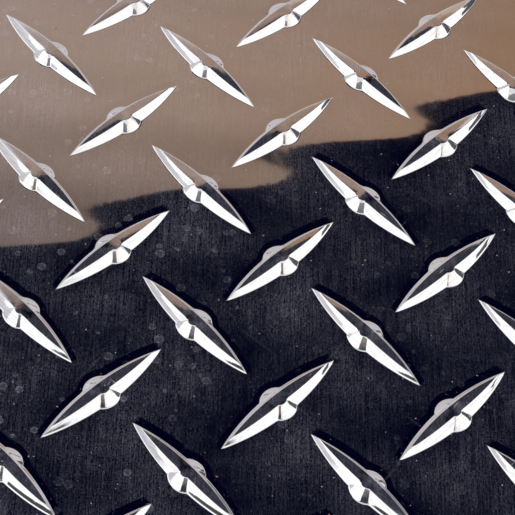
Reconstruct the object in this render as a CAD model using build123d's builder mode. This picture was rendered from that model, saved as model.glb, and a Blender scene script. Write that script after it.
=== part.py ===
"""Bright aluminium checker plate, an 8 in square sheared from 1/8 in stock.

One rolled piece: a flat sheet with raised lugs on its upper face. The lugs stand on a lattice that runs
diagonally to the edges, and each one lies across its neighbours, so that they lean by turns to the right
and to the left. A lug is a long pointed bar with sloped walls, a top that falls lightly to both ends
from a crest across its middle, and a round conical boss there. Its far wall, on the +Y side, is steeper
than its near one. The edges are sheared straight through the pattern, so the lugs that cross them are
cut.

Millimetres. The origin is the middle of the underside, +Z is up out of the lugs and +Y is the rolling
direction.
"""

import os
from math import cos, floor, radians, sin, sqrt, tan

from build123d import *

# Sheet
plate_length = 203.2  # along Y, the rolling direction
plate_width = 203.2  # along X
sheet_thickness = 3.175  # gauge, measured between the lugs

# Lug pattern
lug_spacing = 25.4  # centre to centre of neighbouring lugs
lug_turn = 45.0  # between a lug and the rolling direction

# One lug
lug_length = 31.75  # tip to tip, at the sheet
bar_width = 5.3  # of the pointed bar at its middle, at the sheet
lug_height = 1.75  # above the sheet, at the middle
near_wall_angle = 44.0  # slope of the bar's near wall, from the sheet
far_wall_angle = 57.0  # slope of its far wall
crown_radius = 197.0  # of the top, along the lug
crown_offset = 5.5  # from the lug's middle to the crown's centre past it, which makes the crest
boss_diameter = 7.6  # of the round boss, at the sheet
boss_top_diameter = 2.7

# The bar's two long sides are arcs through its tips.
half_length = lug_length / 2
half_width = bar_width / 2
side_radius = (half_length**2 + half_width**2) / (2 * half_width)
side_centre = side_radius - half_width
near_run = lug_height / tan(radians(near_wall_angle))
far_run = lug_height / tan(radians(far_wall_angle))
crown_drop = sqrt(crown_radius**2 - crown_offset**2)

# Lugs of one lean repeat at these pitches, and those of the other lean stand halfway between them.
pitch_across = 2 * lug_spacing * sin(radians(lug_turn))
pitch_along = 2 * lug_spacing * cos(radians(lug_turn))
reach_across = half_length * sin(radians(lug_turn))
reach_along = half_length * cos(radians(lug_turn))
steps_across = (plate_width / 2 + reach_across) / pitch_across
steps_along = (plate_length / 2 + reach_along) / pitch_along

base_up = (Align.CENTER, Align.CENTER, Align.MIN)

# One lug along X, on its own base. The walls are cones about the arcs' centres, and the bar is where
# the two cones meet.
with BuildPart() as lug:
    with Locations((0, side_centre)):
        Cone(side_radius, side_radius - near_run, lug_height, align=base_up)
    with Locations((0, -side_centre)):
        Cone(side_radius, side_radius - far_run, lug_height, align=base_up, mode=Mode.INTERSECT)
    Cone(boss_diameter / 2, boss_top_diameter / 2, lug_height, align=base_up)
    with BuildSketch(Plane.XZ) as crown:
        with Locations((-crown_offset, lug_height - crown_drop)):
            Circle(crown_radius)
        with Locations((crown_offset, lug_height - crown_drop)):
            Circle(crown_radius, mode=Mode.INTERSECT)
    extrude(amount=boss_diameter, both=True, mode=Mode.INTERSECT)

# The sheet, with right-leaning lugs about its centre and left-leaning ones half a pitch between them.
with BuildPart() as checker_plate:
    Box(plate_width, plate_length, sheet_thickness, align=base_up)
    with Locations((0, 0, sheet_thickness)):
        with GridLocations(pitch_across, pitch_along, 2 * floor(steps_across) + 1, 2 * floor(steps_along) + 1):
            add(lug.part, rotation=(0, 0, 90 - lug_turn))
        with GridLocations(pitch_across, pitch_along, 2 * floor(steps_across + 0.5), 2 * floor(steps_along + 0.5)):
            add(lug.part, rotation=(0, 0, lug_turn - 90))
    # The shears leave nothing past the sheet's edges.
    Box(plate_width, plate_length, sheet_thickness + lug_height, align=base_up, mode=Mode.INTERSECT)

checker_plate.part.label = "checker_plate"

os.makedirs("parts", exist_ok=True)
export_step(checker_plate.part, "parts/checker_plate.step")
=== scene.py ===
"""Bright aluminium checker plate: the rolled sheet as a fine mesh, its finishes, the studio, the camera."""
import math

import bmesh
import bpy
import numpy as np
from mathutils import Matrix, Vector
from mathutils.geometry import delaunay_2d_cdt


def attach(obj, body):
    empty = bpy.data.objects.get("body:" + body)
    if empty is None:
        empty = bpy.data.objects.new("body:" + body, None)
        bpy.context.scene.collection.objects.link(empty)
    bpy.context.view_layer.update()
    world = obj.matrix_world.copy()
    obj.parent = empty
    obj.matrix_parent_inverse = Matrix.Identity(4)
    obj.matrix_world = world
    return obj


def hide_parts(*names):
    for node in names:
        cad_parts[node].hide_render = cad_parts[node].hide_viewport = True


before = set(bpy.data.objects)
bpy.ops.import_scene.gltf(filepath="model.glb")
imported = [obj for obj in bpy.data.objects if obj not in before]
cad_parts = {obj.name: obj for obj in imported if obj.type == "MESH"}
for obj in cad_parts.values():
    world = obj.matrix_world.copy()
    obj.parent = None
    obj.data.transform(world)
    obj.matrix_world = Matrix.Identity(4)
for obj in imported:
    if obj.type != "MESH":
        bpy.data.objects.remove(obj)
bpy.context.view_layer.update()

MM = 0.001

# The plate, in millimetres, as the part's source gives it
HALF_LENGTH = 101.6
HALF_WIDTH = 101.6
GAUGE = 3.175
LUG_SPACING = 25.4
LUG_HEIGHT = 1.75
BAR_HALF_LENGTH = 15.875
BAR_HALF_WIDTH = 2.65
SIDE_RADIUS = (BAR_HALF_LENGTH**2 + BAR_HALF_WIDTH**2) / (2 * BAR_HALF_WIDTH)
SIDE_CENTRE = SIDE_RADIUS - BAR_HALF_WIDTH
CROWN_RADIUS = 197.0
BOSS_RADIUS = 3.8
BOSS_TOP_RADIUS = 1.35

# Lugs of one lean repeat at this pitch, along X and along Y.
PITCH = math.sqrt(2) * LUG_SPACING

# A lug's top falls to both ends from a crest, and a little across the lug from a line near its near side.
CROWN_PITCH = 0.028
CREST_ROUNDING = 0.8
CROWN_TILT = 0.015
TILT_LINE = -1.4

# The boss's side, with its slope at the foot. It eases towards the top.
BOSS_SLOPE = 0.837
BOSS_EASING = 0.05
BOSS_TOP_SLOPE = 0.59

# A lug's walls, with their slopes at the foot. The far wall, on the +Y side, is steeper and eases towards
# the top. The near wall has a soft crease about halfway up, with a flatter facet above it.
NEAR, FAR = -1, 1
WALL_SLOPE = {NEAR: 1.12, FAR: 1.75}
FAR_EASING = 0.20
UPPER_SLOPE = 0.86
CREASE_DEPTH = 0.70
CREASE_HEIGHT = WALL_SLOPE[NEAR] * CREASE_DEPTH
CREASE_ROUNDING = 0.035

# Rounded corners, as the difference in height over which two faces blend
FOOT_ROUNDING = 0.18
RIDGE_ROUNDING = {NEAR: 0.08, FAR: 0.22}
TIP_ROUNDING = 0.12
VALLEY_ROUNDING = 0.15

# Radius of the edge above a sheared side
EDGE_RADIUS = 0.25

# The mesh of one lug's cell, a rectangle; plain squares fill the gaps between the cells
CELL_HALF_LENGTH = 18.5
CELL_HALF_WIDTH = LUG_SPACING - CELL_HALF_LENGTH
GAP_STEPS = 5

# The lines that the mesh follows: along each rounded corner, as shares of its rounding, and up each wall,
# as depths inside the outline
LINE_SPACING = 0.9
FOOT_LINES = (-1.1, -0.4, 0.4, 1.1)
CORNER_LINES = (-1, -0.35, 0.35, 1)
WALL_LINES = {NEAR: (0.38, CREASE_DEPTH - 0.11, CREASE_DEPTH + 0.11, 1.3), FAR: (0.45, 0.8)}
BOSS_LINES = (3.1, 2.5, 1.95)
POINTS_PAST_TIP = ((16.9, 0), (17.5, 0), (16.6, 0.5), (16.6, -0.5), (15.9, 0.8), (15.9, -0.8))

# Points nearer than this are one.
MERGE = 0.001


# Shape of the rolled face


def soft_max(a, b, width):
    """The greater of two heights, with the corner between them rounded."""
    near = np.maximum(width - np.abs(a - b), 0) / width
    return np.maximum(a, b) + near * near * width / 4


def soft_min(a, b, width):
    return -soft_max(-a, -b, width)


def wall_height(depth, side):
    """Height of one of the bar's walls at a distance inside its outline."""
    lower = WALL_SLOPE[side] * depth
    if side == FAR:
        return lower - FAR_EASING * np.maximum(depth, 0) ** 2
    return soft_min(lower, CREASE_HEIGHT + UPPER_SLOPE * (depth - CREASE_DEPTH), CREASE_ROUNDING)


def wall_depth(height, side):
    """The distance inside the outline at which that wall has a height."""
    slope = WALL_SLOPE[side]
    if side == FAR:
        return (slope - np.sqrt(slope * slope - 4 * FAR_EASING * height)) / (2 * FAR_EASING)
    past_crease = np.maximum(height - CREASE_HEIGHT, 0)
    return np.minimum(height, CREASE_HEIGHT) / slope + past_crease / UPPER_SLOPE


def crown_height(u, v=0):
    """The top falls to both ends, from a soft crest across the middle, and a little from its near side."""
    ends = CROWN_PITCH * (np.sqrt(u * u + CREST_ROUNDING**2) - CREST_ROUNDING) + u * u / (2 * CROWN_RADIUS)
    return LUG_HEIGHT - ends - CROWN_TILT * (v - TILT_LINE)


def boss_height(u, v):
    """The boss is a cone whose side is a little rounded, steeper at its foot."""
    inside = BOSS_RADIUS - np.hypot(u, v)
    return BOSS_SLOPE * inside - BOSS_EASING * np.maximum(inside, 0) ** 2


def bar_walls(u, v):
    """Heights of the near and far walls, each about its own arc's centre."""
    near = wall_height(SIDE_RADIUS - np.hypot(u, v - SIDE_CENTRE), NEAR)
    far = wall_height(SIDE_RADIUS - np.hypot(u, v + SIDE_CENTRE), FAR)
    return near, far


def bar_height(u, v):
    return soft_min(*bar_walls(u, v), TIP_ROUNDING)


def lug_height(u, v):
    """Height of one lug above the sheet: u runs along the lug to its far end and v across it."""
    body = soft_max(bar_height(u, v), boss_height(u, v), VALLEY_ROUNDING)
    rounding = np.interp(v, (-0.2, 0.6), (RIDGE_ROUNDING[NEAR], RIDGE_ROUNDING[FAR]))
    top = soft_min(body, crown_height(u, v), rounding)
    return soft_max(top, 0 * top, FOOT_ROUNDING)


def sheet_wave(x, y):
    """The sheet isn't quite flat between the lugs: it dips in shallow troughs that run across the plate at
    the level of their near tips."""
    turn = 2 * math.pi / PITCH
    a, b = x * turn, y * turn
    troughs = 0.0146 * np.cos(2 * b) - 0.0051 * np.sin(2 * b)
    beside_lugs = 0.0074 * np.cos(a) * np.sin(b) - 0.0072 * np.cos(a) * np.cos(b) + 0.0068 * np.sin(a)
    at_tips = np.sin(a) * (0.0051 * np.sin(2 * b) - 0.0017 * np.cos(2 * b))
    return troughs + beside_lugs + at_tips + 0.0012 * np.sin(2 * a) * (np.sin(b) - np.cos(b)) - 0.0074


def lattice_place(x, y):
    """A point on the lattice's own axes, in lug spacings."""
    return (x + y) / PITCH, (y - x) / PITCH


def lug_place(x, y, step_p=0, step_q=0):
    """A point along and across the lug that is some steps from the nearest one."""
    p, q = lattice_place(x, y)
    site_p, site_q = np.round(p) + step_p, np.round(q) + step_q
    along, across = (p - site_p) * LUG_SPACING, (q - site_q) * LUG_SPACING
    turned = (site_p + site_q) % 2 == 1
    return np.where(turned, across, along), np.where(turned, along, across)


def face_height(x, y):
    """Height of the upper face at any point of the plate."""
    lugs = [lug_height(*lug_place(x, y, *step)) for step in ((0, 0), (1, 0), (-1, 0), (0, 1), (0, -1))]
    return GAUGE + np.max(lugs, axis=0) + sheet_wave(x, y)


def face_normal(x, y, step=0.004):
    """The upper face's normals, from its heights a step to each side."""
    slope_x = (face_height(x + step, y) - face_height(x - step, y)) / (2 * step)
    slope_y = (face_height(x, y + step) - face_height(x, y - step)) / (2 * step)
    normal = np.stack([-slope_x, -slope_y, np.ones_like(slope_x)], axis=1)
    return normal / np.linalg.norm(normal, axis=1, keepdims=True)


# Mesh of one lug's cell, seen from above


class Drawing:
    """Points and the lines that the mesh has to follow."""

    def __init__(self):
        self.points = []
        self.lines = []

    def line(self, points):
        first = len(self.points)
        self.points += [tuple(map(float, p)) for p in points]
        self.lines += [(first + i, first + i + 1) for i in range(len(points) - 1)]

    def curve(self, u, v, keep):
        """A line with the points that aren't kept left out."""
        run = []
        for a, b, kept in zip(u, v, keep):
            if kept:
                run.append((a, b))
            elif run:
                self.line(run)
                run = []
        if run:
            self.line(run)


def side_line(u, depth, side):
    """How far across the lug a line lies that is drawn inside the outline by a depth."""
    return side * (np.sqrt((SIDE_RADIUS - depth) ** 2 - u * u) - SIDE_CENTRE)


def outline_arc(drawing, depth, side):
    """Half of one side of the bar's outline, drawn in by a distance."""
    radius = SIDE_RADIUS - depth
    end = math.acos(SIDE_CENTRE / radius)
    angles = np.linspace(0, end, max(2, round(radius * end / LINE_SPACING)) + 1)
    u = radius * np.sin(angles)
    v = side * (radius * np.cos(angles) - SIDE_CENTRE)
    v[-1] = 0
    height = wall_height(depth, side)
    keep = (boss_height(u, v) < height + 0.02) & (crown_height(u) > height)
    one_wall, other_wall = bar_walls(u, v)[:: -side]
    drawing.curve(u, v, keep & ((depth < 0) | (one_wall < other_wall + 0.01)))


def top_ridges(drawing, share):
    """Lines along the two edges between the bar's walls and its top, up to where they meet."""

    def ridge_line(u, side):
        return side_line(u, wall_depth(crown_height(u) + share * RIDGE_ROUNDING[side], side), side)

    u = np.linspace(0, 15, 1501)
    end = u[ridge_line(u, FAR) > ridge_line(u, NEAR)][-1]
    u = np.linspace(0, end, round(end / LINE_SPACING) + 1)
    for side in (NEAR, FAR):
        v = ridge_line(u, side)
        drawing.curve(u, v, boss_height(u, v) < crown_height(u) + share * RIDGE_ROUNDING[side] + 0.05)


def crossing(low, high, is_past):
    """The place between low and high at which something first holds, by halving."""
    for _ in range(40):
        middle = (low + high) / 2
        past = is_past(middle)
        low, high = np.where(past, low, middle), np.where(past, middle, high)
    return low


def tip_ridge(drawing, shift):
    """A line along the crest where the two walls meet, from the top's end to the tip."""
    u = np.linspace(12.9, BAR_HALF_LENGTH, 6)

    def on_far_wall(v):
        near, far = bar_walls(u, v)
        return near >= far

    v = crossing(np.full_like(u, -2.0), np.full_like(u, 2.0), on_far_wall)
    drawing.curve(u, v + shift, u > 0)


def boss_ring(drawing, radius, step):
    """The part of a ring round the boss that the bar doesn't cover, in steps of so many degrees."""
    angles = np.radians(np.linspace(90, -90, 2 * round(90 / step) + 1))
    u, v = radius * np.cos(angles), radius * np.sin(angles)
    u[0] = u[-1] = 0
    drawing.curve(u, v, bar_height(u, v) < max(boss_height(radius, 0), 0) + 0.02)


def valley(drawing, offset, side):
    """A line along the valley between the boss and one of the bar's walls."""
    radii = np.linspace(BOSS_TOP_RADIUS + 0.1, BOSS_RADIUS + 0.2, 6)

    def place(angle):
        return radii * np.cos(angle), side * radii * np.sin(angle)

    def off_bar(angle):
        return bar_height(*place(angle)) - boss_height(*place(angle)) <= offset

    angle = crossing(np.zeros_like(radii), np.full_like(radii, math.pi / 2), off_bar)
    drawing.curve(*place(angle), (angle > 0.02) & (angle < 1.55))


def fill(drawing, spacing, inside):
    """Plain points between the lines."""
    drawn = np.array(drawing.points)
    rows = np.arange(-CELL_HALF_WIDTH + spacing * 0.5, CELL_HALF_WIDTH, spacing * 0.87)
    for row, v in enumerate(rows):
        for u in np.arange(spacing * (0.5 if row % 2 else 1), CELL_HALF_LENGTH, spacing):
            clear = np.min(np.hypot(drawn[:, 0] - u, drawn[:, 1] - v)) > 0.6 * spacing
            edge = min(CELL_HALF_WIDTH - abs(v), CELL_HALF_LENGTH - u) > 0.5 * spacing
            if clear and edge and inside(np.array(u), np.array(v)):
                drawing.points.append((float(u), float(v)))


def draw_bar(drawing):
    """The lines of the bar: round its foot, up its walls, beside the boss and round its top."""
    for side in (NEAR, FAR):
        foot = FOOT_ROUNDING / WALL_SLOPE[side]
        for depth in (*(share * foot for share in FOOT_LINES), *WALL_LINES[side]):
            outline_arc(drawing, depth, side)
        for share in CORNER_LINES:
            valley(drawing, share * VALLEY_ROUNDING, side)
    for share in CORNER_LINES:
        top_ridges(drawing, share)


def draw_boss(drawing):
    """Rings round the boss's foot, its top and its side."""
    foot = FOOT_ROUNDING / BOSS_SLOPE
    top = RIDGE_ROUNDING[NEAR] / BOSS_TOP_SLOPE
    for share in reversed(FOOT_LINES):
        boss_ring(drawing, BOSS_RADIUS + share * foot, 8)
    for share in reversed(CORNER_LINES):
        boss_ring(drawing, BOSS_TOP_RADIUS + share * top, 12)
    for radius in BOSS_LINES:
        boss_ring(drawing, radius, 9)


def half_cell():
    """Triangles over the half of the cell that holds the lug's far end."""
    drawing = Drawing()
    on_width = np.linspace(-CELL_HALF_WIDTH, CELL_HALF_WIDTH, 7)
    on_length = np.append(on_width[3:], np.linspace(CELL_HALF_WIDTH, CELL_HALF_LENGTH, GAP_STEPS + 1)[1:])
    drawing.line([(CELL_HALF_LENGTH, v) for v in on_width])
    drawing.line([(u, CELL_HALF_WIDTH) for u in on_length])
    drawing.line([(u, -CELL_HALF_WIDTH) for u in on_length])
    drawing.line([(0, -CELL_HALF_WIDTH), (0, CELL_HALF_WIDTH)])
    draw_bar(drawing)
    draw_boss(drawing)
    for shift in (-0.05, 0.05):
        tip_ridge(drawing, shift)
    drawing.points += POINTS_PAST_TIP
    fill(drawing, 1.0, lambda u, v: lug_height(u, v) > 0.25)
    fill(drawing, 2.3, lambda u, v: lug_height(u, v) < 0.02)
    drawn = [Vector(p) for p in drawing.points]
    points, _, faces, *_ = delaunay_2d_cdt(drawn, drawing.lines, [], 0, 1e-5, False)
    return np.array([p[:] for p in points]), [tuple(f) for f in faces]


def whole_cell():
    """The cell's two halves. Faces turn the other way round in the mirrored one."""
    points, faces = half_cell()
    mirrored = [tuple(len(points) + i for i in reversed(face)) for face in faces]
    return np.vstack([points, points * (-1, 1)]), faces + mirrored


def gap_square():
    """The plain square past one corner of the cell."""
    count = GAP_STEPS + 1
    steps = np.linspace(CELL_HALF_WIDTH, CELL_HALF_LENGTH, count)
    points = [(u, v) for v in steps for u in steps]
    starts = [row * count + i for row in range(GAP_STEPS) for i in range(GAP_STEPS)]
    return np.array(points), [(i, i + 1, i + count + 1, i + count) for i in starts]


# Mesh of the plate

# The kinds of face, each with its finish's place in the list of finishes
FINISH_OF = {"top": 0, "rim": 0, "rim foot": 1, "side": 1, "underside": 2}
KINDS = list(FINISH_OF)


def flat_pattern():
    """The cells and gaps over the whole plate, still flat, as points and faces."""
    cell, cell_faces = whole_cell()
    gap, gap_faces = gap_square()
    all_points, all_faces, count = [], [], 0
    reach = math.ceil(math.hypot(HALF_LENGTH, HALF_WIDTH) / LUG_SPACING) + 1
    for p in range(-reach, reach + 1):
        for q in range(-reach, reach + 1):
            turned = (p + q) % 2 == 1
            for points, faces, is_cell in ((cell, cell_faces, True), (gap, gap_faces, False)):
                along, across = points[:, 0], points[:, 1]
                if turned and is_cell:
                    along, across = across, along
                along, across = along + p * LUG_SPACING, across + q * LUG_SPACING
                x, y = (along - across) / math.sqrt(2), (along + across) / math.sqrt(2)
                if min(abs(x)) > HALF_WIDTH or min(abs(y)) > HALF_LENGTH:
                    continue
                all_points.append(np.stack([x, y, 0 * x], axis=1))
                all_faces += [tuple(count + i for i in face) for face in faces]
                count += len(points)
    return np.vstack(all_points), all_faces


def trim(bm):
    """The shears' cuts, at the start of the rounded edge."""
    for axis, half in ((0, HALF_WIDTH), (1, HALF_LENGTH)):
        for side in (-1, 1):
            normal, place = [0, 0, 0], [0, 0, 0]
            normal[axis], place[axis] = side, side * (half - EDGE_RADIUS)
            cut = {"plane_co": place, "plane_no": normal, "clear_outer": True}
            bmesh.ops.bisect_plane(bm, geom=bm.verts[:] + bm.edges[:] + bm.faces[:], dist=1e-6, **cut)


def sides_of(place):
    """Which sides of the plate a point on its trimmed outline belongs to, as -1, 0 or 1 in x and in y."""
    reach = HALF_WIDTH - EDGE_RADIUS - MERGE, HALF_LENGTH - EDGE_RADIUS - MERGE
    return [math.copysign(1, at) if abs(at) > far else 0 for at, far in zip(place, reach)]


def sheared_edges(bm):
    """The rounded upper edge, the cut sides and the underside. Each face holds its kind's place in KINDS,
    where its finish goes later."""
    kinds = {}
    rim = [e for e in bm.edges if e.is_boundary]
    turn = 0.0
    for next_turn, kind in ((30, "rim"), (60, "rim"), (90, "rim foot"), (None, "side")):
        made = bmesh.ops.extrude_edge_only(bm, edges=rim)["geom"]
        rim = [g for g in made if isinstance(g, bmesh.types.BMEdge) and g.is_boundary]
        for vert in (g for g in made if isinstance(g, bmesh.types.BMVert)):
            side_x, side_y = sides_of(vert.co)
            if kind == "side":
                vert.co.z = 0
            else:
                out = EDGE_RADIUS * (math.sin(math.radians(next_turn)) - math.sin(math.radians(turn)))
                down = EDGE_RADIUS * (math.cos(math.radians(turn)) - math.cos(math.radians(next_turn)))
                vert.co += Vector((side_x * out, side_y * out, -down))
        kinds.update((g, kind) for g in made if isinstance(g, bmesh.types.BMFace))
        turn = next_turn
    kinds.update((face, "underside") for face in bmesh.ops.contextual_create(bm, geom=rim)["faces"])
    bmesh.ops.recalc_face_normals(bm, faces=list(kinds))
    for face, kind in kinds.items():
        face.material_index = KINDS.index(kind)


def fix_order(bm):
    """Sorts the faces by their first three corners, since the order after an extrusion is left to chance."""
    bm.verts.index_update()
    count = len(bm.verts)

    def place(face):
        first, second, third = sorted(vert.index for vert in face.verts)[:3]
        return (first * count + second) * count + third

    bm.faces.sort(key=place)
    bm.faces.index_update()


def outward(face):
    """The side that a cut face looks to."""
    middle = face.calc_center_median()
    across, along = abs(middle.x) / HALF_WIDTH, abs(middle.y) / HALF_LENGTH
    if across > along:
        return Vector((math.copysign(1, middle.x), 0, 0))
    return Vector((0, math.copysign(1, middle.y), 0))


def rim_normal(face, vert):
    """The normal on the rounded edge: it turns from up to the side."""
    side = outward(face)
    half = HALF_WIDTH if side.x else HALF_LENGTH
    reach = abs(vert.co.dot(side)) - (half - EDGE_RADIUS)
    sine = min(max(reach / EDGE_RADIUS, 0), 1)
    normal = side * sine + Vector((0, 0, 1)) * math.sqrt(1 - sine * sine)
    return tuple(normal)


def nearest_cell(p, q):
    """The lattice site whose cell holds a point, or the nearest one for a point in a gap."""
    near_p, near_q = round(p), round(q)
    long, short = CELL_HALF_LENGTH / LUG_SPACING, CELL_HALF_WIDTH / LUG_SPACING
    for step_p, step_q in ((0, 0), (1, 0), (-1, 0), (0, 1), (0, -1)):
        site = near_p + step_p, near_q + step_q
        along, across = abs(p - site[0]), abs(q - site[1])
        if sum(site) % 2:
            along, across = across, along
        if along < long + 1e-4 and across < short + 1e-4:
            return site
    return near_p, near_q


def flat_face():
    """The upper face while it is still flat, trimmed by the shears, with its faces up."""
    points, faces = flat_pattern()
    bm = bmesh.new()
    made = [bm.verts.new(p) for p in points]
    for face in faces:
        bm.faces.new([made[i] for i in face])
    bmesh.ops.remove_doubles(bm, verts=bm.verts[:], dist=MERGE)
    trim(bm)
    bmesh.ops.remove_doubles(bm, verts=bm.verts[:], dist=2 * MERGE)
    bm.faces.ensure_lookup_table()
    for face in bm.faces:
        if face.normal.z < 0:
            face.normal_flip()
    return bm


def mark_lug_places(bm):
    """A map of each corner's place along and across the lug in its own cell, in lug spacings."""
    lug_uv = bm.loops.layers.uv.new("lug_place")
    for face in bm.faces:
        site = nearest_cell(*lattice_place(*face.calc_center_median()[:2]))
        for loop in face.loops:
            p, q = lattice_place(*loop.vert.co[:2])
            along, across = p - site[0], q - site[1]
            if sum(site) % 2:
                along, across = across, along
            loop[lug_uv].uv = (along + 0.5, across + 0.5)


def raise_lugs(bm):
    """Lifts the flat face to the rolled one, and gives the true surface's normals."""
    x, y = np.array([v.co[:2] for v in bm.verts]).T
    normals = {}
    for vert, height, normal in zip(bm.verts, face_height(x, y), face_normal(x, y)):
        vert.co.z = height
        normals[vert] = tuple(normal)
    return normals


def build_plate():
    """The whole piece as one mesh, in metres, with the normals of the true surface."""
    bm = flat_face()
    mark_lug_places(bm)
    rolled_normals = raise_lugs(bm)
    sheared_edges(bm)
    fix_order(bm)
    normals = []
    for face in bm.faces:
        kind = KINDS[face.material_index]
        face.smooth = True
        face.material_index = FINISH_OF[kind]
        for loop in face.loops:
            if kind == "top":
                normals.append(rolled_normals[loop.vert])
            elif kind == "underside":
                normals.append((0, 0, -1))
            elif kind == "side":
                normals.append(tuple(outward(face)))
            else:
                normals.append(rim_normal(face, loop.vert))
    mesh = bpy.data.meshes.new("checker_plate_face")
    for vert in bm.verts:
        vert.co *= MM
    bm.to_mesh(mesh)
    bm.free()
    mesh.normals_split_custom_set(normals)
    return mesh


# Finishes


def new_material(name):
    material = bpy.data.materials.new(name)
    material.use_nodes = True
    nodes = material.node_tree.nodes
    return material, nodes, material.node_tree.links, nodes["Principled BSDF"]


def new_group(name, inputs, outputs):
    """An empty node group with named inputs, each with its value, and outputs."""
    group = bpy.data.node_groups.new(name, "ShaderNodeTree")
    for label, value in inputs.items():
        group.interface.new_socket(label, in_out="INPUT", socket_type="NodeSocketFloat").default_value = value
    for label in outputs:
        group.interface.new_socket(label, in_out="OUTPUT", socket_type="NodeSocketFloat")
    return group, group.nodes.new("NodeGroupInput").outputs, group.nodes.new("NodeGroupOutput").inputs


def use_group(material, group, **values):
    """Places an effect in a material with its own values, and gives the effect's outputs."""
    node = material.node_tree.nodes.new("ShaderNodeGroup")
    node.node_tree = group
    for label, value in values.items():
        node.inputs[label.replace("_", " ")].default_value = value
    return node.outputs


class Maths:
    """Short ways to add maths and texture nodes to one node tree."""

    def __init__(self, tree):
        self.nodes, self.links = tree.nodes, tree.links

    def put(self, value, socket):
        """Feeds a socket from another one, or sets a plain value on it."""
        if isinstance(value, bpy.types.NodeSocket):
            self.links.new(value, socket)
        else:
            socket.default_value = value

    def do(self, operation, *values, clamp=False):
        node = self.nodes.new("ShaderNodeMath")
        node.operation, node.use_clamp = operation, clamp
        for value, socket in zip(values, node.inputs):
            self.put(value, socket)
        return node.outputs[0]

    def plus(self, total, *others):
        for other in others:
            total = self.do("ADD", total, other)
        return total

    def times(self, total, *others):
        for other in others:
            total = self.do("MULTIPLY", total, other)
        return total

    def minus(self, a, b):
        return self.do("SUBTRACT", a, b)

    def at_least(self, a, b):
        return self.do("MAXIMUM", a, b)

    def fade(self, value, start, end, low=0.0, high=1.0):
        """Goes smoothly from low to high as the value goes from start to end."""
        node = self.nodes.new("ShaderNodeMapRange")
        node.interpolation_type = "SMOOTHSTEP"
        for socket, number in zip(node.inputs[:5], (value, start, end, low, high)):
            self.put(number, socket)
        return node.outputs[0]

    def noise(self, place, scale, detail=2.0, roughness=0.5):
        node = self.nodes.new("ShaderNodeTexNoise")
        values = {"Vector": place, "Scale": scale, "Detail": detail, "Roughness": roughness}
        for label, number in values.items():
            self.put(number, node.inputs[label])
        return node.outputs["Fac"]

    def vector(self, *axes):
        node = self.nodes.new("ShaderNodeCombineXYZ")
        for value, socket in zip(axes, node.inputs):
            self.put(value, socket)
        return node.outputs[0]

    def split(self, vector):
        node = self.nodes.new("ShaderNodeSeparateXYZ")
        self.links.new(vector, node.inputs[0])
        return node.outputs

    def combine(self, operation, *vectors):
        node = self.nodes.new("ShaderNodeVectorMath")
        node.operation = operation
        for value, socket in zip(vectors, node.inputs):
            self.put(value, socket)
        return node.outputs[0]

    def stretched(self, x, y, z):
        """The object's own place, in metres, scaled along each axis."""
        place = self.nodes.new("ShaderNodeTexCoord").outputs["Object"]
        return self.combine("MULTIPLY", place, self.vector(x, y, z))

    def uv(self, name):
        node = self.nodes.new("ShaderNodeUVMap")
        node.uv_map = name
        return node.outputs["UV"]


# Effects that the finishes share


def rolling_lines_group():
    """Fine straight lines along the rolling direction, long and short, as a value about 0."""
    sizes = {"Lines per metre": 3600, "Breaks per metre": 100}
    group, inputs, outputs = new_group("rolling_lines", sizes, ["Lines"])
    maths = Maths(group)
    long_lines = maths.stretched(inputs["Lines per metre"], inputs["Breaks per metre"], 0)
    more_breaks = maths.times(inputs["Breaks per metre"], 7)
    short_lines = maths.stretched(inputs["Lines per metre"], more_breaks, 0)
    both = maths.plus(maths.noise(long_lines, 1, 1), maths.noise(short_lines, 1.3, 1))
    maths.put(maths.minus(both, 1), outputs["Lines"])
    return group


def clouding_group():
    """Soft patches of a mill haze, as a value about 0."""
    group, inputs, outputs = new_group("clouding", {"Patches per metre": 110, "Detail": 3}, ["Clouds"])
    maths = Maths(group)
    place = maths.stretched(inputs["Patches per metre"], inputs["Patches per metre"], 0)
    maths.put(maths.minus(maths.noise(place, 1, inputs["Detail"]), 0.5), outputs["Clouds"])
    return group


def scattered(maths, per_metre, shift):
    """Cells strewn over the plate: the distance to the middle of one, and three random values for it."""
    cells = maths.nodes.new("ShaderNodeTexVoronoi")
    cells.voronoi_dimensions = "2D"
    cells.inputs["Scale"].default_value = 1
    place = maths.combine("ADD", maths.stretched(per_metre, per_metre, 0), (shift, 0.37 * shift, 0))
    maths.put(place, cells.inputs["Vector"])
    apart = maths.nodes.new("ShaderNodeSeparateColor")
    maths.links.new(cells.outputs["Color"], apart.inputs[0])
    return cells.outputs["Distance"], apart.outputs


def dust_group():
    """Single grains of dust: 1 on a grain."""
    sizes = {"Grains per metre": 420, "Share": 0.1, "Size": 0.05}
    group, inputs, outputs = new_group("dust", sizes, ["Dust"])
    maths = Maths(group)
    distance, random = scattered(maths, inputs["Grains per metre"], 50.3)
    has_grain = maths.do("LESS_THAN", random["Blue"], inputs["Share"])
    size = maths.times(inputs["Size"], maths.fade(random["Green"], 0, 1, 0.5, 1.4))
    near = maths.fade(maths.do("DIVIDE", distance, size), 0.7, 1.1, 1, 0)
    maths.put(maths.times(has_grain, near), outputs["Dust"])
    return group


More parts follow.
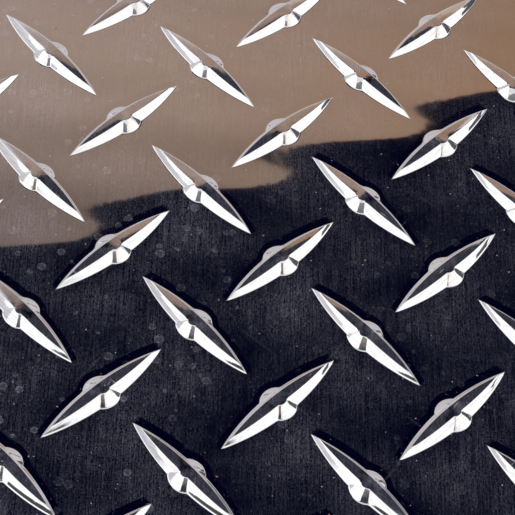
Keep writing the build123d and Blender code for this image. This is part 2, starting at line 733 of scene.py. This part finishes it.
def water_spots_group():
    """Dried drops, in groups and mostly on the plate's left: a broken ring about a faint middle."""
    sizes = {"Drops per metre": 230, "Share": 0.4}
    group, inputs, outputs = new_group("water_spots", sizes, ["Spots"])
    maths = Maths(group)
    distance, random = scattered(maths, inputs["Drops per metre"], 21.7)
    uneven = maths.noise(maths.stretched(1500, 1500, 0), 1, 2)
    distance = maths.plus(distance, maths.times(maths.minus(uneven, 0.5), 0.16))
    size = maths.fade(random["Green"], 0, 1, 0.06, 0.20)
    from_ring = maths.do("ABSOLUTE", maths.minus(distance, size))
    ring = maths.times(maths.fade(from_ring, 0.02, 0.07, 1, 0), maths.fade(uneven, 0.35, 0.65))
    middle = maths.fade(maths.minus(distance, size), -0.05, 0.02, 0.3, 0)
    has_drop = maths.do("LESS_THAN", random["Blue"], inputs["Share"])
    x = maths.split(maths.stretched(1, 1, 0))["X"]
    in_groups = maths.fade(maths.noise(maths.stretched(45, 45, 0), 1, 1), 0.38, 0.52)
    wetted = maths.times(in_groups, maths.fade(x, -0.03, 0.01, 1, 0.25))
    spot = maths.times(maths.at_least(ring, middle), has_drop)
    maths.put(maths.times(spot, wetted), outputs["Spots"])
    return group


def scratches_group():
    """Sparse hairline scratches aslant to the rolling lines: 1 on a scratch."""
    sizes = {"Scratches per metre": 900, "Breaks per metre": 55}
    group, inputs, outputs = new_group("scratches", sizes, ["Scratches"])
    maths = Maths(group)
    total = 0
    for angle in (37, -52):
        turn = maths.nodes.new("ShaderNodeVectorRotate")
        turn.rotation_type = "Z_AXIS"
        turn.inputs["Angle"].default_value = math.radians(angle)
        maths.put(maths.stretched(1, 1, 0), turn.inputs["Vector"])
        scale = maths.vector(inputs["Scratches per metre"], inputs["Breaks per metre"])
        place = maths.combine("MULTIPLY", turn.outputs[0], scale)
        total = maths.plus(total, maths.fade(maths.noise(place, 1, 0), 0.79, 0.83))
    maths.put(total, outputs["Scratches"])
    return group


def lee_shade_and_haze_group():
    """How much haze lies, about 1. Its part that repeats with the lugs is painted shade and light: less haze,
    so darker, in a wake behind each lug and more in the gaps before their near walls. It also grows towards
    the plate's left."""
    group, inputs, outputs = new_group("lee_shade_and_haze", {"Painted lee shade": 1.2, "Drift per metre": 5.0}, ["Thickness"])
    maths = Maths(group)
    turns = 2 * math.pi / (PITCH * MM)
    place = maths.split(maths.stretched(turns, turns, 0))
    a, b = place["X"], place["Y"]
    sine_a, sine_b, sine_2b = (maths.do("SINE", angle) for angle in (a, b, maths.times(b, 2)))
    cosine_a, cosine_b = maths.do("COSINE", a), maths.do("COSINE", b)
    sine_2a, cosine_2a = (maths.do(wave, maths.times(a, 2)) for wave in ("SINE", "COSINE"))
    # Painted shade and light: these waves, repeating with the lugs, take haze away in a wake behind each lug
    # and add it before their near walls.
    total = maths.times(sine_a, 0.23)
    for share, wave, other in (
        (-0.35, cosine_a, sine_b), (-0.16, cosine_a, cosine_b), (0.18, sine_2b, 1), (0.11, cosine_2a, 1),
        (-0.12, sine_a, sine_2b), (-0.12, sine_2a, sine_b), (0.07, sine_2a, cosine_b),
    ):
        total = maths.plus(total, maths.times(wave, other, share))
    drift = maths.times(maths.do("DIVIDE", a, -turns), inputs["Drift per metre"])
    total = maths.plus(maths.times(total, inputs["Painted lee shade"]), drift, 1)
    maths.put(maths.at_least(total, 0.08), outputs["Thickness"])
    return group


def shear_group():
    """The bands of a sheared side: 1 where the metal is torn, upright lines about 0, and their relief."""
    labels = ["Torn", "Upright lines", "Relief"]
    group, inputs, outputs = new_group("shear", {"Line height": 1.5, "Lines per metre": 2600}, labels)
    maths = Maths(group)
    height = maths.split(group.nodes.new("ShaderNodeTexCoord").outputs["Object"])["Z"]
    uneven = maths.minus(maths.noise(maths.stretched(180, 180, 0), 1, 3), 0.5)
    level = maths.plus(maths.do("DIVIDE", height, MM), maths.times(uneven, 0.9))
    torn = maths.fade(maths.minus(level, inputs["Line height"]), -0.12, 0.12, 1, 0)
    maths.put(torn, outputs["Torn"])
    per_metre = inputs["Lines per metre"]
    lines = maths.noise(maths.stretched(per_metre, per_metre, 120), 1, 2)
    maths.put(maths.minus(lines, 0.5), outputs["Upright lines"])
    grains = maths.noise(maths.stretched(per_metre, per_metre, 1900), 1, 3, 0.7)
    smooth = maths.times(lines, 0.35, maths.minus(1, torn))
    maths.put(maths.plus(smooth, maths.times(grains, torn)), outputs["Relief"])
    return group


def lug_axes(maths):
    """A point's place along and across its lug, in millimetres."""
    axes = maths.split(maths.uv("lug_place"))
    return [maths.times(maths.minus(axes[i], 0.5), LUG_SPACING) for i in (0, 1)]


def painted_shadow_band(maths, u, v, radius, inputs):
    """1 on a strip of even width along a lug's far side: a painted shadow, where the lamp-lit haze is taken
    out so the face shows darker.
    """
    from_centre = maths.plus(v, SIDE_CENTRE)
    from_centre = maths.do("SQRT", maths.plus(maths.times(u, u), maths.times(from_centre, from_centre)))
    past_bar = maths.minus(from_centre, SIDE_RADIUS)
    past_lug = maths.do("SMOOTH_MIN", past_bar, maths.minus(radius, BOSS_RADIUS), 0.5)
    width = maths.fade(u, -2, 5, inputs["Shadow band width"], inputs["Far shadow band width"])
    band = maths.fade(maths.minus(past_lug, width), -0.07, 0.07, 1, 0)
    far_side = maths.fade(v, -0.1, 0.3)
    ends = maths.fade(maths.do("ABSOLUTE", u), 15.6, 16.6, 1, 0)
    return maths.times(band, far_side, ends)


def beside_lugs_group():
    """Masks of a lug's top, walls and middle and of a band of painted shadow behind it, and the marks that
    the rolls
    left on the walls: lines drawn out along the lug, as a value about 0."""
    labels = ["Top", "Walls", "Middle", "Painted shadow band", "Drag lines"]
    sizes = {"Shadow band width": 1.4, "Far shadow band width": 2.0}
    group, inputs, outputs = new_group("beside_lugs", sizes, labels)
    maths = Maths(group)
    u, v = lug_axes(maths)
    radius = maths.do("SQRT", maths.plus(maths.times(u, u), maths.times(v, v)))
    maths.put(painted_shadow_band(maths, u, v, radius, inputs), outputs["Painted shadow band"])
    maths.put(maths.fade(radius, 2.0, 4.5, 1, 0), outputs["Middle"])
    face = group.nodes.new("ShaderNodeTexCoord").outputs
    place, lean = maths.split(face["Object"]), maths.split(face["Normal"])
    raised = maths.fade(place["Z"], (GAUGE + 0.25) * MM, (GAUGE + 0.6) * MM)
    level = maths.fade(lean["Z"], 0.9, 0.98)
    maths.put(maths.times(raised, level), outputs["Top"])
    on_wall = maths.fade(place["Z"], (GAUGE + 0.1) * MM, (GAUGE + 0.3) * MM)
    maths.put(maths.times(on_wall, maths.minus(1, level)), outputs["Walls"])
    drawn_out = maths.vector(maths.times(u, 0.22), maths.times(v, 3.2), maths.times(place["X"], 60))
    maths.put(maths.minus(maths.noise(drawn_out, 1, 3, 0.6), 0.5), outputs["Drag lines"])
    return group


# The three finishes


def blend(material, factor, colours):
    """A colour between several, as (place, colour), by a factor that varies over the surface."""
    ramp = material.node_tree.nodes.new("ShaderNodeValToRGB")
    stops = ramp.color_ramp.elements
    stops[0].position, stops[0].color = colours[0][0], (*colours[0][1], 1)
    stops[1].position, stops[1].color = colours[-1][0], (*colours[-1][1], 1)
    for place, colour in colours[1:-1]:
        stops.new(place).color = (*colour, 1)
    material.node_tree.links.new(factor, ramp.inputs["Fac"])
    return ramp.outputs["Color"]


def relief(material, height, depth):
    """A bump from a value from 0 to 1 whose full step has a depth in millimetres."""
    bump = material.node_tree.nodes.new("ShaderNodeBump")
    bump.inputs["Distance"].default_value = depth * MM
    material.node_tree.links.new(height, bump.inputs["Height"])
    return bump.outputs["Normal"]


def mill_haze(material, maths, effects, lines, mottle, lugs):
    """The haze's share of the surface. It lies in rolling lines and clouds, is taken out in a band behind
    each lug as a painted shadow, and is thickest on the lugs' rubbed tops."""
    grain = use_group(material, effects["clouds"], Patches_per_metre=2600, Detail=1)["Clouds"]
    clouds = use_group(material, effects["clouds"], Patches_per_metre=45)["Clouds"]
    # Painted shade and light: the haze amount that repeats with the lugs darkens the face in a wake behind
    # each lug.
    lee_shade_and_haze = use_group(material, effects["lee_shade_and_haze"])["Thickness"]
    fine = maths.plus(maths.times(lines, 3.4), maths.times(grain, 3.6))
    broad = maths.plus(maths.times(mottle, 1.6), maths.times(clouds, 2.8))
    haze = maths.times(lee_shade_and_haze, maths.at_least(maths.plus(broad, 1), 0.3))
    haze = maths.times(haze, maths.at_least(maths.plus(fine, 1), 0.1), 0.0178)
    # Painted shadow: the lamp-lit haze is taken out in a band behind each lug's far side, which darkens the
    # face there.
    haze = maths.times(haze, maths.minus(1, maths.times(lugs["Painted shadow band"], 0.985)))
    rubbed = maths.plus(0.043, maths.times(lugs["Middle"], maths.times(mottle, 0.3)))
    rubbed = maths.times(rubbed, maths.plus(1, maths.times(fine, 0.4)))
    return maths.at_least(haze, maths.times(lugs["Top"], rubbed))


def marks_in_haze(material, maths, effects, haze, top):
    """The haze with scuffs on the lugs' tops, dried drops, scratches and pale dust."""
    scuffs = use_group(material, effects["scratches"], Scratches_per_metre=2000, Breaks_per_metre=280)
    spots = use_group(material, effects["spots"])["Spots"]
    scratches = use_group(material, effects["scratches"])["Scratches"]
    dust = use_group(material, effects["dust"])["Dust"]
    fine_dust = use_group(material, effects["dust"], Grains_per_metre=900, Share=0.35, Size=0.085)["Dust"]
    haze = maths.plus(haze, maths.times(maths.times(scuffs["Scratches"], top), 0.2), maths.times(spots, 0.14))
    haze = maths.plus(haze, maths.times(scratches, 0.015), maths.times(fine_dust, 0.07))
    return maths.at_least(haze, maths.times(dust, 0.35))


def bright_rolled_face(effects):
    """The mirror-bright upper face under a faint haze: where there is haze, the face is less of a metal."""
    material, nodes, links, shader = new_material("bright_rolled_face")
    maths = Maths(material.node_tree)
    lines = use_group(material, effects["lines"])["Lines"]
    mottle = use_group(material, effects["clouds"], Patches_per_metre=330)["Clouds"]
    brown_dust = use_group(material, effects["dust"], Grains_per_metre=150, Share=0.1, Size=0.03)["Dust"]
    lugs = use_group(material, effects["lugs"])
    haze = mill_haze(material, maths, effects, lines, mottle, lugs)
    haze = marks_in_haze(material, maths, effects, haze, lugs["Top"])
    haze = maths.at_least(haze, maths.times(brown_dust, 0.5))
    links.new(maths.minus(1, haze), shader.inputs["Metallic"])
    streaks = maths.times(lugs["Drag lines"], lugs["Walls"])
    tone = maths.plus(maths.times(lines, 0.25), maths.times(streaks, 1.8), maths.times(mottle, 0.08), 0.7)
    tone = maths.minus(tone, brown_dust)
    bright = [(0, (0.55, 0.30, 0.12)), (0.3, (0.74, 0.70, 0.68)), (0.7, (0.90, 0.905, 0.92)),
              (1, (0.98, 0.98, 0.99))]
    links.new(blend(material, tone, bright), shader.inputs["Base Color"])
    links.new(maths.plus(0.027, maths.times(lugs["Top"], 0.04)), shader.inputs["Roughness"])
    worn = maths.times(mottle, maths.times(lugs["Middle"], lugs["Top"]), 10)
    links.new(relief(material, maths.plus(streaks, worn), 0.003), shader.inputs["Normal"])
    return material


def sheared_side(effects):
    """A cut side: the blade left an upper band smooth, with fine upright lines, and tore a dull lower one."""
    material, nodes, links, shader = new_material("sheared_side")
    maths = Maths(material.node_tree)
    shader.inputs["Metallic"].default_value = 1
    bands = use_group(material, effects["shear"])
    cut = [(0, (0.80, 0.805, 0.82)), (1, (0.56, 0.56, 0.57))]
    links.new(blend(material, bands["Torn"], cut), shader.inputs["Base Color"])
    rough = maths.plus(maths.fade(bands["Torn"], 0, 1, 0.22, 0.5), maths.times(bands["Upright lines"], 0.2))
    links.new(rough, shader.inputs["Roughness"])
    links.new(relief(material, bands["Relief"], 0.05), shader.inputs["Normal"])
    return material


def mill_underside(effects):
    """The plain rolled back: a satin with rolling lines and cloudy patches."""
    material, nodes, links, shader = new_material("mill_underside")
    maths = Maths(material.node_tree)
    shader.inputs["Metallic"].default_value = 1
    lines = use_group(material, effects["lines"], Lines_per_metre=1500, Breaks_per_metre=12)["Lines"]
    clouds = use_group(material, effects["clouds"], Patches_per_metre=60)["Clouds"]
    scratches = use_group(material, effects["scratches"], Scratches_per_metre=500)["Scratches"]
    tone = maths.plus(maths.times(lines, 0.8), maths.times(clouds, 0.5), 0.6)
    tone = maths.minus(tone, maths.times(scratches, 0.3))
    satin = [(0, (0.66, 0.665, 0.68)), (1, (0.86, 0.865, 0.88))]
    links.new(blend(material, tone, satin), shader.inputs["Base Color"])
    links.new(maths.fade(tone, 0, 1, 0.40, 0.26), shader.inputs["Roughness"])
    links.new(relief(material, tone, 0.004), shader.inputs["Normal"])
    return material


# Studio

WHITE, BLACK = (1.15, 1.15, 1.15), (0.01, 0.01, 0.012)
PALE, NIGHT = (0.62, 0.585, 0.60), (0.0004, 0.0006, 0.009)
PLAIN_WHITE = [(0, WHITE), (1, WHITE)]
SHADE = [(0, (0.07, 0.07, 0.075)), (1, (0.1, 0.1, 0.105))]

# The point that the cards and the lamp face, in metres
AIM = (0, 0, 0.004)


def towards(azimuth, elevation):
    """The direction at an azimuth from +Y towards +X and an elevation, in degrees."""
    a, e = math.radians(azimuth), math.radians(elevation)
    return Vector((math.sin(a) * math.cos(e), math.cos(a) * math.cos(e), math.sin(e)))


def facing(place, roll=0):
    """Turns a card's or lamp's -Z from its place to the plate."""
    turn = (Vector(AIM) - Vector(place)).to_track_quat("-Z", "Y").to_matrix().to_4x4()
    return Matrix.Translation(place) @ turn @ Matrix.Rotation(math.radians(roll), 4, "Z")


def card_glow(name, colours, tint):
    """A glow that runs through (height, colour) stops. The tint comes in towards the right end."""
    material, nodes, links, _ = new_material(name)
    nodes.clear()
    maths = Maths(material.node_tree)
    across, up, _ = maths.split(maths.uv("card_place"))
    tinted = nodes.new("ShaderNodeMix")
    tinted.data_type, tinted.blend_type = "RGBA", "MULTIPLY"
    links.new(across, tinted.inputs["Factor"])
    links.new(blend(material, up, colours), tinted.inputs["A"])
    tinted.inputs["B"].default_value = (*tint, 1)
    glow = nodes.new("ShaderNodeEmission")
    links.new(tinted.outputs["Result"], glow.inputs["Color"])
    links.new(glow.outputs[0], nodes.new("ShaderNodeOutputMaterial").inputs["Surface"])
    return material


def card(name, azimuth, elevation, distance, width, height, colours, roll=0, tint=(1, 1, 1)):
    """A studio card that only reflections show. Its right end is the one on the right from the plate."""
    mesh = bpy.data.meshes.new(name)
    w, h = width / 2, height / 2
    mesh.from_pydata([(-w, -h, 0), (w, -h, 0), (w, h, 0), (-w, h, 0)], [], [(0, 3, 2, 1)])
    place = mesh.uv_layers.new(name="card_place")
    for loop, at in zip(place.data, ((1, 0), (1, 1), (0, 1), (0, 0))):
        loop.uv = at
    mesh.materials.append(card_glow(name, colours, tint))
    board = bpy.data.objects.new(name, mesh)
    bpy.context.scene.collection.objects.link(board)
    board.matrix_world = facing(towards(azimuth, elevation) * distance, roll)
    board.visible_camera = board.visible_diffuse = board.visible_shadow = board.visible_transmission = False


def far_cards():
    """What the flat face, the lugs' tops and their far walls mirror: pale low down, then beige, then dark."""
    card("pale_far_card", 3, 25, 1.9, 4.4, 2.6, [(0, PALE), (1, (0.56, 0.52, 0.53))])
    beige = [(0, PALE), (0.2, (0.60, 0.565, 0.575)), (0.28, (0.39, 0.32, 0.30)),
             (0.42, (0.335, 0.262, 0.235)), (0.52, (0.372, 0.284, 0.242)), (0.58, (0.35, 0.268, 0.23)),
             (0.66, (0.285, 0.22, 0.187)), (0.77, (0.197, 0.15, 0.135)), (1, (0.1, 0.07, 0.055))]
    card("beige_card", 2.8, 46, 1.4, 0.66, 0.62, beige, tint=(0.82, 0.62, 0.42))
    card("dark_flag", 3, 64.5, 1.0, 1.5, 0.4453, [(0, NIGHT), (1, NIGHT)], roll=24.2)


def left_cards():
    """What the near walls of right-leaning lugs mirror: white, with a grey strip low down."""
    card("left_white_card", -109.8, 28, 1.3, 2.43, 1.6, PLAIN_WHITE)
    silver = [(0, (0.58, 0.565, 0.595)), (0.8, (0.61, 0.595, 0.625)), (1, (0.68, 0.67, 0.69))]
    card("left_grey_card", -75.7, 7, 1.0, 1.2, 0.67, silver, roll=2)
    card("left_grey_fade", -109.3, 5, 1.0, 0.11, 0.57, PLAIN_WHITE, tint=(0.52, 0.51, 0.535))
    dim = [(0, (0.04, 0.037, 0.033)), (1, (0.06, 0.055, 0.05))]
    card("left_dark_card", -138.5, 13.3, 1.2, 0.72, 0.423, dim, roll=30)


def right_cards():
    """What the near walls of left-leaning lugs mirror: white, with dark patches low down. The card over the
    near side is for the bosses."""
    cream = [(0, WHITE), (0.7, WHITE), (0.86, (1.1, 1.02, 0.94)), (1, (1.05, 0.95, 0.86))]
    card("right_white_card", 108, 28, 1.3, 1.69, 1.7, cream)
    soft_white = [(0, (0.97, 0.96, 0.97)), (1, WHITE)]
    card("right_end_card", 139, 27, 1.2, 0.34, 0.46, soft_white, tint=(0.5, 0.5, 0.5))
    dusk = [(0, BLACK), (0.22, (0.014, 0.012, 0.014)), (0.36, (0.12, 0.11, 0.12)), (1, (0.24, 0.235, 0.24))]
    card("camera_side_card", 184, 52, 1.0, 0.66, 0.5, dusk)
    card("right_dark_end", 141.4, 17.2, 1.19, 0.2, 0.17, SHADE)
    card("right_dark_fade", 134.7, 17.2, 1.19, 0.08, 0.17, PLAIN_WHITE, tint=(0.1, 0.1, 0.1))
    card("dark_right_card", 61, 13.5, 1.2, 0.6, 0.445, SHADE)
    card("low_right_strip", 81.5, 5.5, 1.15, 0.38, 0.18, SHADE, roll=25)


def front_lamp():
    """A small lamp low over the near side, that no reflection shows. It brings out the haze."""
    radiance, width, height = 1500, 0.12, 0.06
    data = bpy.data.lights.new("front_lamp", "AREA")
    data.shape = "RECTANGLE"
    data.size, data.size_y = width, height
    data.energy = radiance * math.pi * width * height
    data.color = (0.97, 1, 1.22)
    light = bpy.data.objects.new("front_lamp", data)
    bpy.context.scene.collection.objects.link(light)
    light.matrix_world = facing(towards(180, 27) * 1.5)
    light.visible_camera = light.visible_glossy = False


def studio_world():
    """White where it is seen or mirrored, and soft where it lights."""
    world = bpy.data.worlds.new("studio")
    bpy.context.scene.world = world
    world.use_nodes = True
    nodes, links = world.node_tree.nodes, world.node_tree.links
    nodes.clear()
    maths = Maths(world.node_tree)
    rays = nodes.new("ShaderNodeLightPath").outputs
    seen = maths.do("ADD", rays["Is Camera Ray"], rays["Is Glossy Ray"], clamp=True)
    seen = maths.do("ADD", seen, rays["Is Transmission Ray"], clamp=True)
    strength = nodes.new("ShaderNodeMapRange")
    strength.inputs["To Min"].default_value = 0.16
    strength.inputs["To Max"].default_value = 1.0
    links.new(seen, strength.inputs["Value"])
    sky = nodes.new("ShaderNodeBackground")
    links.new(strength.outputs["Result"], sky.inputs["Strength"])
    links.new(sky.outputs[0], nodes.new("ShaderNodeOutputWorld").inputs["Surface"])


def studio_floor():
    """Pale paper, just under the plate."""
    mesh = bpy.data.meshes.new("floor")
    mesh.from_pydata([(-3, -3, 0), (3, -3, 0), (3, 3, 0), (-3, 3, 0)], [], [(0, 1, 2, 3)])
    floor = bpy.data.objects.new("floor", mesh)
    floor.location.z = -0.0002
    bpy.context.scene.collection.objects.link(floor)
    material, nodes, links, shader = new_material("floor_paper")
    shader.inputs["Base Color"].default_value = (0.84, 0.82, 0.73, 1)
    shader.inputs["Roughness"].default_value = 0.9
    shader.inputs["Specular IOR Level"].default_value = 0.1
    mesh.materials.append(material)


def photo_camera():
    """The photograph's view: from the near side, above, with a long lens."""
    data = bpy.data.cameras.new("camera")
    data.lens = 130.1
    data.sensor_width = 36
    data.clip_start = 0.01
    camera = bpy.data.objects.new("camera", data)
    bpy.context.scene.collection.objects.link(camera)
    right = Vector((0.9957, 0.0207, 0.0898))
    up = Vector((-0.0693, 0.8104, 0.5817))
    back = right.cross(up).normalized()
    up = back.cross(right).normalized()
    right.normalize()
    turn = Matrix((right, up, back)).transposed().to_4x4()
    camera.matrix_world = Matrix.Translation((-0.02935, -0.2337, 0.3233 + GAUGE * MM)) @ turn
    bpy.context.scene.camera = camera


# The part

effects = {
    "lines": rolling_lines_group(),
    "clouds": clouding_group(),
    "dust": dust_group(),
    "spots": water_spots_group(),
    "scratches": scratches_group(),
    "lee_shade_and_haze": lee_shade_and_haze_group(),
    "shear": shear_group(),
    "lugs": beside_lugs_group(),
}
plate = bpy.data.objects.new("rolled_plate", build_plate())
bpy.context.scene.collection.objects.link(plate)
for finish in (bright_rolled_face, sheared_side, mill_underside):
    plate.data.materials.append(finish(effects))
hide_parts("checker_plate")
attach(plate, "root")

studio_world()
studio_floor()
far_cards()
left_cards()
right_cards()
front_lamp()
photo_camera()

bpy.context.scene.view_settings.view_transform = "Standard"
